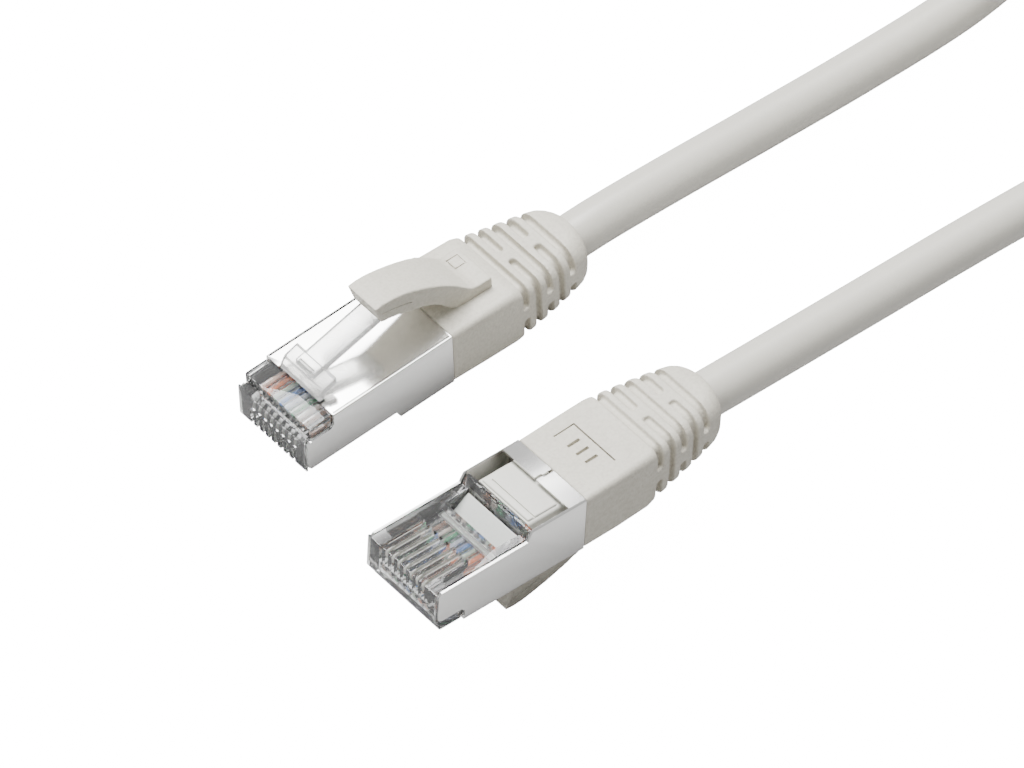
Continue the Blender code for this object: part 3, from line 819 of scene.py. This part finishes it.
def make_housing():
    body = profile("housing", ((0.0, 0.0), (12.95, 0.0), (13.5, -1.0), (14.0, -1.0), (14.0, 6.0), (4.0, 6.0),
                               (4.0, 4.95), (0.9, 4.95), (0.0, 4.7)), (-INNER_HALF, INNER_HALF))
    bevel_edges(body, lambda a, b: True, 0.14, 2)
    face = block("face", (0.0, 0.3), (-HALF_WIDTH, HALF_WIDTH), (0.0, 4.7))
    bevel_edges(face, lambda a, b: True, 0.12, 2)
    brow = block("brow", (0.9, 4.05), (-HALF_WIDTH + 0.25, HALF_WIDTH - 0.25), (4.62, 6.3))
    bevel_edges(brow, lambda a, b: True, 0.22, 3)
    join(body, face, brow)
    for k in range(CONTACTS):
        y = contact_y(k)
        slot = profile("slot", ((-0.2, -0.2), (6.2, -0.2), (6.2, 1.6), (5.5, 2.3), (5.5, 3.6), (1.5, 3.6),
                                (0.9, 2.3), (-0.2, 2.3)), (y - SLOT_HALF, y + SLOT_HALF))
        cut(body, slot, rod("channel", (1.1, 9.4), y, WIRE_Z, CHANNEL_R, 12))
    cut(body, block("rear room", (9.0, 14.6), (-4.65, 4.65), (2.85, 5.05)),
        block("clamp recess", (9.7, 13.1), (-4.3, 4.3), (-1.5, 2.6)),
        block("shoulder slot", (13.4, 13.7), (-2.9, 2.6), (-1.4, -0.8)))
    return shade(body, 25)


place(make_housing(), "clear_housing", CLEAR, "clear_polycarbonate", ["housing"])

# %% [markdown]
# The latch is a springy arm of the same plastic, with a satin surface. Its wide root carries the
# step that locks in the socket, and its finger runs back and up under the hood.

# %% The latch


def make_latch():
    root = profile("latch", ((4.12, 6.55), (4.3, 7.2), (4.9, 8.15), (6.8, 8.75), (6.8, 7.78), (5.2, 7.3),
                             (4.9, 6.6)), (-3.45, 3.45))
    bevel_edges(root, lambda a, b: True, 0.16, 3)
    finger = profile("finger", ((5.0, 7.8), (5.0, 8.95), (7.4, 9.45), (14.3, 11.15), (14.7, 11.0), (14.7, 10.35),
                                (7.4, 8.5), (6.5, 8.0)), (-1.6, 1.6))
    bevel_edges(finger, lambda a, b: True, 0.15, 3)
    join(root, finger)
    cut(root, block("groove", (5.15, 5.5), (-1.2, 1.2), (8.6, 9.5)))
    return shade(root, 30)


place(make_latch(), "clear_latch", FROSTED, "clear_polycarbonate", ["latch"], bodies="latch_arm")

# %% [markdown]
# Behind the contacts a sloped bar clamps the wires, and a cream block fills the shield and grips the
# cord. Both are plain mouldings with soft edges; the block also has a parting groove and a shallow step.

# %% The clamp bar and the inner overmould


def make_clamp_bar():
    bar = profile("clamp", ((9.85, 1.95), (10.75, 1.95), (12.8, 0.4), (12.95, 0.45), (12.95, 1.2), (11.3, 2.45),
                            (9.85, 2.45)), (-4.15, 4.15))
    bevel_edges(bar, lambda a, b: True, 0.1, 3)
    return shade(bar, 30)


def make_overmould():
    lump = block("overmould", (14.3, SHIELD_REAR - 0.1), (-4.3, 4.3), (-0.6, 6.0))
    bevel_edges(lump, lambda a, b: abs(a.x - b.x) > 1, 0.4, 4)
    pad = block("pad", (14.5, 18.7), (-3.9, 3.9), (-0.85, 0.5))
    bevel_edges(pad, lambda a, b: True, 0.2, 3)
    join(lump, pad)
    cut(lump, rod("bore", (13.5, 22.0), 0, 2.7, 3.04, 32),
        block("mouth", (13.5, 15.6), (-4.1, 4.1), (1.5, 4.7)),
        block("parting groove", (15.3, 15.5), (-3.2, 4.3), (-1.2, -0.68)))
    return shade(lump, 30)


place(make_clamp_bar(), "pressed_bar", MILKY, "milky_plastic", ["clamp_bar"])
place(make_overmould(), "filler_block", CREAM, "cream_overmould", ["inner_overmould"])

# %% [markdown]
# The hank's tie is a hook-and-loop strap: a woven band round the folded cord. It is a bevelled ring
# with a hollow, and its weave comes from two crossed waves in the bump.

# %% The tie
TIE_WIDTH, TIE_THICK = 10.0, 0.8


def weave_finish(name, light, dark, threads):
    material = finish(name, light, dark, (0.85, 0.95), grains=2500, bump=0, patches=600)
    tree = material.node_tree
    shader = tree.nodes["Principled BSDF"]
    places = tree.nodes.new("ShaderNodeTexCoord").outputs["Object"]
    height = None
    for direction in ("X", "Y", "Z"):
        wave = tree.nodes.new("ShaderNodeTexWave")
        wave.bands_direction = direction
        wave.inputs["Scale"].default_value = threads
        tree.links.new(places, wave.inputs["Vector"])
        band = wave.outputs["Fac"]
        height = band if height is None else math_node(tree, "MAXIMUM", height, band)
    made = tree.nodes.new("ShaderNodeBump")
    made.inputs["Strength"].default_value = 0.5
    made.inputs["Distance"].default_value = 0.0002
    tree.links.new(height, made.inputs["Height"])
    tree.links.new(made.outputs["Normal"], shader.inputs["Normal"])
    return material


def make_tie():
    reach = OUTER + CORD_D / 2
    top = FIRST_LAYER + 3.5 * CORD_D
    middle = NEAR_X + HANK_STRAIGHT / 2
    span = (middle - TIE_WIDTH / 2, middle + TIE_WIDTH / 2)
    half = reach + 0.3 + TIE_THICK
    strap = block("tie", span, (HANK_CENTRE_Y - half, HANK_CENTRE_Y + half), (0.0, top + 0.3 + TIE_THICK))
    bevel_edges(strap, lambda a, b: abs(a.x - b.x) > 1, 2.2, 6)
    half -= TIE_THICK
    hollow = block("hollow", (span[0] - 1, span[1] + 1), (HANK_CENTRE_Y - half, HANK_CENTRE_Y + half),
                   (TIE_THICK, top + 0.3))
    bevel_edges(hollow, lambda a, b: abs(a.x - b.x) > 1, 1.6, 6)
    cut(strap, hollow)
    lap = block("lap", (span[0] + 0.4, span[1] - 0.4), (HANK_CENTRE_Y - 9, HANK_CENTRE_Y + 12),
                (top + 0.3 + TIE_THICK - 0.1, top + 0.3 + TIE_THICK + 0.7))
    bevel_edges(lap, lambda a, b: True, 0.2, 2)
    join(strap, lap)
    apply_modifier(strap, "BEVEL", width=0.12, segments=2, limit_method="ANGLE", angle_limit=math.radians(50))
    shade(strap, 40)
    strap.scale = (MM, MM, MM)
    bpy.ops.object.transform_apply(location=True, rotation=True, scale=True)
    return strap


tie = make_tie()
tie.name = "cord_tie"
tie.data.materials.append(weave_finish("woven tie", srgb(58, 58, 60), srgb(40, 40, 42), 900))
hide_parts("hank_tie")
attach(tie, ROOT)
print("tie made")

# %% [markdown]
# The cord stands for the three plain cord solids: it leaves boot A and goes back into boot B.
# can be measured: it leaves boot A and goes back into boot B.

cord.data.materials.append(CORD_VINYL)
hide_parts("cord_lead_a", "cord_lead_b", "cord_hank")
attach(cord, ROOT)

# %% [markdown]
# A catalogue picture: a white table that runs out of sight, a big soft light over it, and pale
# walls for the metal to mirror. Table and walls are bright to look at, yet throw little light on
# the cord, so its sides and grooves keep their shade.

# %% Table and light


TABLE_SEEN, TABLE_FILL = 16.0, 0.02     # how brightly the table glows: to the camera, and on the cable
WORLD_SEEN, WORLD_FILL = 0.74, 0.22     # the same for the walls: in the metal and plastic, and as fill light


def by_ray(tree, kind, otherwise, when):
    """A strength that is one value for a kind of ray and another for the rest."""
    spread = tree.nodes.new("ShaderNodeMapRange")
    spread.inputs["To Min"].default_value = otherwise
    spread.inputs["To Max"].default_value = when
    tree.links.new(tree.nodes.new("ShaderNodeLightPath").outputs[kind], spread.inputs["Value"])
    return spread.outputs["Result"]


def add_table():
    deselect()
    bpy.ops.mesh.primitive_plane_add(size=6, location=(0, 0, -0.0002))
    made = name_piece("table_top")
    material = bpy.data.materials.new("white table")
    material.use_nodes = True
    tree = material.node_tree
    shader = tree.nodes["Principled BSDF"]
    shader.inputs["Roughness"].default_value = 0.6
    shader.inputs["Specular IOR Level"].default_value = 0.2
    tree.links.new(by_ray(tree, "Is Camera Ray", TABLE_FILL, TABLE_SEEN), shader.inputs["Emission Strength"])
    shader.inputs["Emission Color"].default_value = (1, 1, 1, 1)
    speckle = tree.nodes.new("ShaderNodeMapRange")
    speckle.inputs["To Min"].default_value = 0.42
    speckle.inputs["To Max"].default_value = 0.45
    places = tree.nodes.new("ShaderNodeTexCoord").outputs["Object"]
    tree.links.new(noise_node(tree, 60.0, 2.0, places), speckle.inputs["Value"])
    tree.links.new(speckle.outputs["Result"], shader.inputs["Base Color"])
    made.data.materials.append(material)


def add_light(name, place_at, aim, size, power):
    bpy.ops.object.light_add(type="AREA", location=place_at)
    made = name_piece(name)
    made.data.size = size
    made.data.energy = power
    made.rotation_mode = "QUATERNION"
    made.rotation_quaternion = (Vector(place_at) - Vector(aim)).to_track_quat("Z", "Y")


add_table()
add_light("overhead softbox", (0.1, 0.25, 0.7), (0.02, 0, 0), 0.5, 18.0)
add_light("left softbox", (-0.6, -0.15, 0.45), (0, 0, 0), 0.4, 1.6)
world = bpy.data.worlds.new("pale studio")
world.use_nodes = True
walls = world.node_tree.nodes["Background"]
walls.inputs["Color"].default_value = (1, 1, 1, 1)
world.node_tree.links.new(by_ray(world.node_tree, "Is Diffuse Ray", WORLD_SEEN, WORLD_FILL),
                          walls.inputs["Strength"])
bpy.context.scene.world = world
